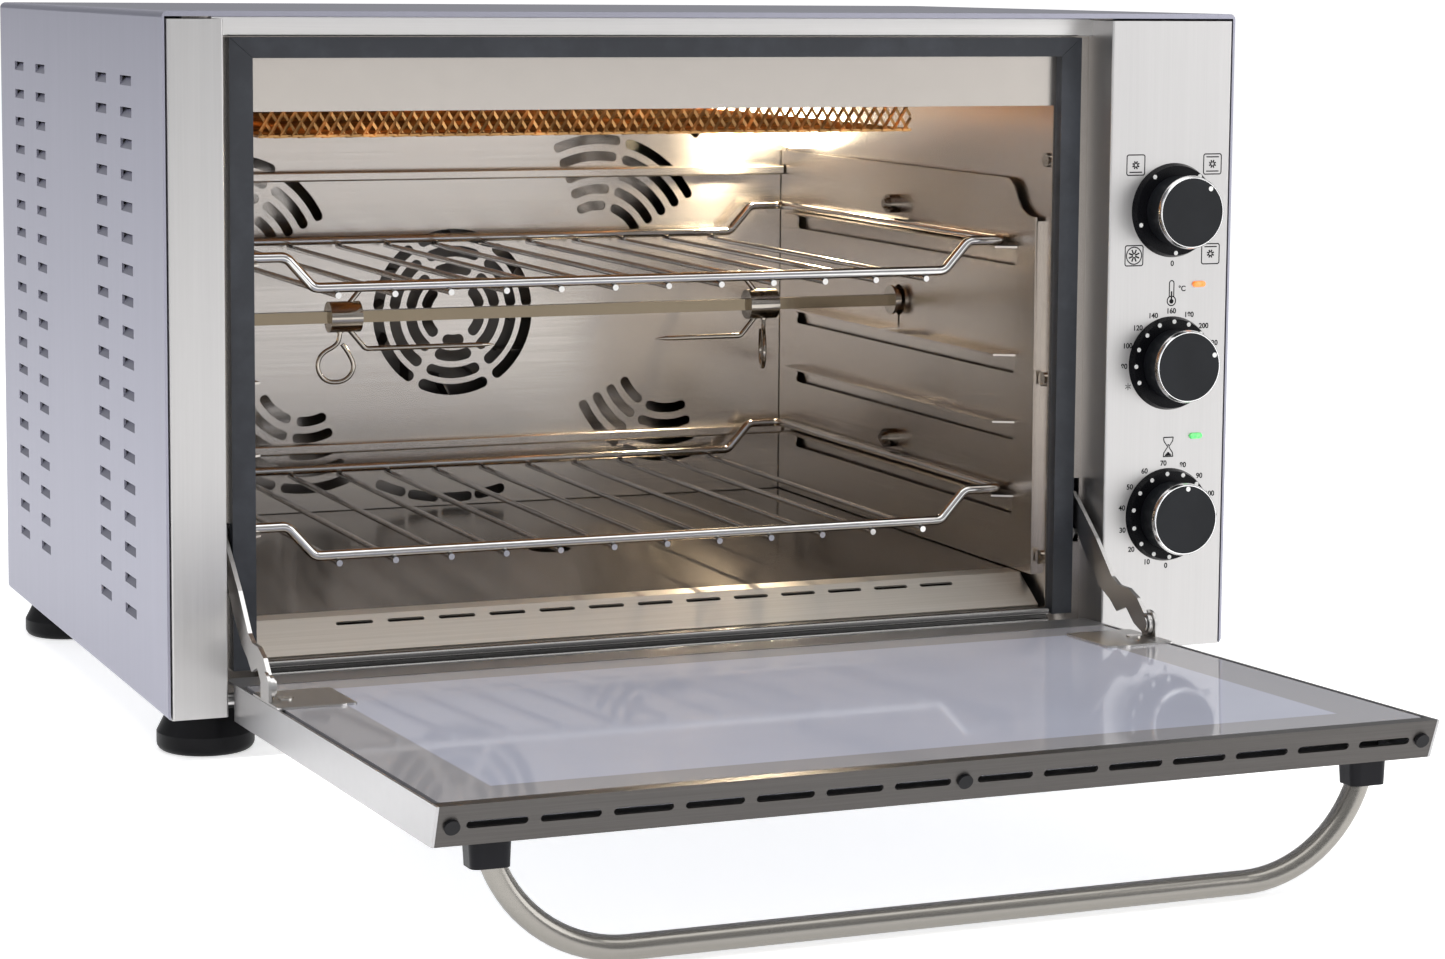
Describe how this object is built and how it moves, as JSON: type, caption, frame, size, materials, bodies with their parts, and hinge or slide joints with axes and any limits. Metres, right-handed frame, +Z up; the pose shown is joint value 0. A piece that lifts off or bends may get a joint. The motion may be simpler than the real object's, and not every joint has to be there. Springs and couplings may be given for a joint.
{
  "type": "rotisserie oven",
  "caption": "Countertop convection oven with a drop-down glass door, rotisserie spit with two forks, wire racks and a control panel with rotary knobs.",
  "frame": {"origin": "centre of the plane that the four feet stand on, midway between the feet sides and the case front and back faces", "axes": "+Z up, -Y towards the user who opens the door, +X towards the control panel"},
  "size_m": [0.55, 0.749, 0.368],
  "materials": {
    "case_steel": "fine horizontal brushing, satin",
    "front_steel": "fine vertical brushing, satin",
    "gasket_rubber": "matte moulded",
    "foot_rubber": "matte moulded",
    "zinc_steel": "zinc plated",
    "cavity_steel": "bright annealed, slightly warm",
    "guard_steel": "expanded sheet",
    "heater": "oxidised sheath",
    "chrome_wire": "bright chrome plate",
    "bright_steel": "polished",
    "fan_aluminium": "as pressed",
    "motor_metal": "semi matte",
    "black_plastic": "fine texture",
    "dial_plastic": "satin with printed marks",
    "knob_plastic": "gloss black with a bright rim",
    "lens": "translucent",
    "lamp_glass": "clear ribbed glass",
    "blanket": "mineral fibre",
    "door_steel": "satin brushed",
    "door_glass": "tinted, coated",
    "handle_steel": "satin brushed round tube",
    "socket_plastic": "satin moulded"
  },
  "bodies": {
    "cabinet": {"back_panel": "zinc_steel", "base_pan": "zinc_steel", "cable_gland": "black_plastic", "case_screws": "bright_steel", "cavity_liner": "cavity_steel", "control_panel": "front_steel", "dial_bezels": "dial_plastic", "door_gasket": "gasket_rubber", "face_frame": "front_steel", "fan_baffle": "cavity_steel", "fan_motor": "motor_metal", "feet": "foot_rubber", "floor_plate": "cavity_steel", "front_sill": "front_steel", "grill_element": "heater", "grill_guard": "guard_steel", "hinge_pins": "zinc_steel", "indicator_lenses": "lens", "insulation_blanket": "blanket", "lamp_glass": "lamp_glass", "lamp_holder": "motor_metal", "left_pillar": "front_steel", "lower_element": "heater", "mode_switch": "black_plastic", "outer_wrapper": "case_steel", "rack_stop_bars": "cavity_steel", "rack_support_left": "cavity_steel", "rack_support_right": "cavity_steel", "rear_cover": "zinc_steel", "ring_element": "heater", "spit_cradle": "cavity_steel", "spit_motor": "motor_metal", "thermostat": "motor_metal", "thumb_nuts": "bright_steel", "timer": "motor_metal", "top_rail": "front_steel"},
    "door": {"door_frame": "door_steel", "door_cap": "door_steel", "inner_glass": "door_glass", "outer_glass": "door_glass", "door_handle": "handle_steel", "handle_sockets": "socket_plastic", "door_screws": "bright_steel", "hinge_brackets": "zinc_steel"},
    "hinge_arm_left": {"hinge_arm_left": "zinc_steel"},
    "hinge_arm_right": {"hinge_arm_right": "zinc_steel"},
    "fan": {"fan_impeller": "fan_aluminium"},
    "spit": {"drive_socket": "bright_steel", "spit_rod": "bright_steel"},
    "fork_left": {"fork_left": "bright_steel"},
    "fork_right": {"fork_right": "bright_steel"},
    "fork_screw_left": {"fork_screw_left": "bright_steel"},
    "fork_screw_right": {"fork_screw_right": "bright_steel"},
    "upper_rack": {"upper_rack": "chrome_wire"},
    "lower_rack": {"lower_rack": "chrome_wire"},
    "function_knob": {"function_knob": "knob_plastic"},
    "temperature_knob": {"temperature_knob": "knob_plastic"},
    "timer_knob": {"timer_knob": "knob_plastic"}
  },
  "joints": [
    {"name": "door_hinge", "type": "hinge", "parent": "cabinet", "child": "door", "pos_m": [-0.02085, -0.178, 0.028], "axis": [1, 0, 0], "range_deg": [-88, 0]},
    {"name": "stay_left_pivot", "type": "hinge", "parent": "door", "child": "hinge_arm_left", "pos_m": [-0.24195, -0.24043, 0.04549], "axis": [1, 0, 0], "range_deg": [0, 63]},
    {"name": "stay_right_pivot", "type": "hinge", "parent": "door", "child": "hinge_arm_right", "pos_m": [0.20025, -0.24043, 0.04549], "axis": [1, 0, 0], "range_deg": [0, 63]},
    {"name": "fan_spin", "type": "hinge", "parent": "cabinet", "child": "fan", "pos_m": [-0.02085, 0.19, 0.1676], "axis": [0, 1, 0], "continuous": true},
    {"name": "spit_turn", "type": "hinge", "parent": "cabinet", "child": "spit", "pos_m": [-0.02085, 0.011, 0.1837], "axis": [1, 0, 0], "continuous": true},
    {"name": "fork_left_slide", "type": "slide", "parent": "spit", "child": "fork_left", "axis": [1, 0, 0], "range_m": [-0.025, 0.05]},
    {"name": "fork_right_slide", "type": "slide", "parent": "spit", "child": "fork_right", "axis": [1, 0, 0], "range_m": [-0.05, 0.025]},
    {"name": "fork_left_screw", "type": "hinge", "parent": "fork_left", "child": "fork_screw_left", "pos_m": [-0.136, 0.011, 0.17], "axis": [0, 0, -1], "range_deg": [0, 540]},
    {"name": "fork_right_screw", "type": "hinge", "parent": "fork_right", "child": "fork_screw_right", "pos_m": [0.102, 0.011, 0.17], "axis": [0, 0, -1], "range_deg": [0, 540]},
    {"name": "upper_rack_slide", "type": "slide", "parent": "cabinet", "child": "upper_rack", "axis": [0, -1, 0], "range_m": [0, 0.22]},
    {"name": "lower_rack_slide", "type": "slide", "parent": "cabinet", "child": "lower_rack", "axis": [0, -1, 0], "range_m": [0, 0.22]},
    {"name": "function_dial", "type": "hinge", "parent": "cabinet", "child": "function_knob", "pos_m": [0.2416, -0.186, 0.2446], "axis": [0, 1, 0], "range_deg": [-216, 72]},
    {"name": "temperature_dial", "type": "hinge", "parent": "cabinet", "child": "temperature_knob", "pos_m": [0.2416, -0.186, 0.1671], "axis": [0, 1, 0], "range_deg": [-184, 0]},
    {"name": "timer_dial", "type": "hinge", "parent": "cabinet", "child": "timer_knob", "pos_m": [0.2416, -0.186, 0.0897], "axis": [0, 1, 0], "range_deg": [-185, 109]}
  ],
  "couplings": [
    {"joint": "stay_left_pivot", "follows": "door_hinge", "ratio": -0.715},
    {"joint": "stay_right_pivot", "follows": "door_hinge", "ratio": -0.715}
  ]
}
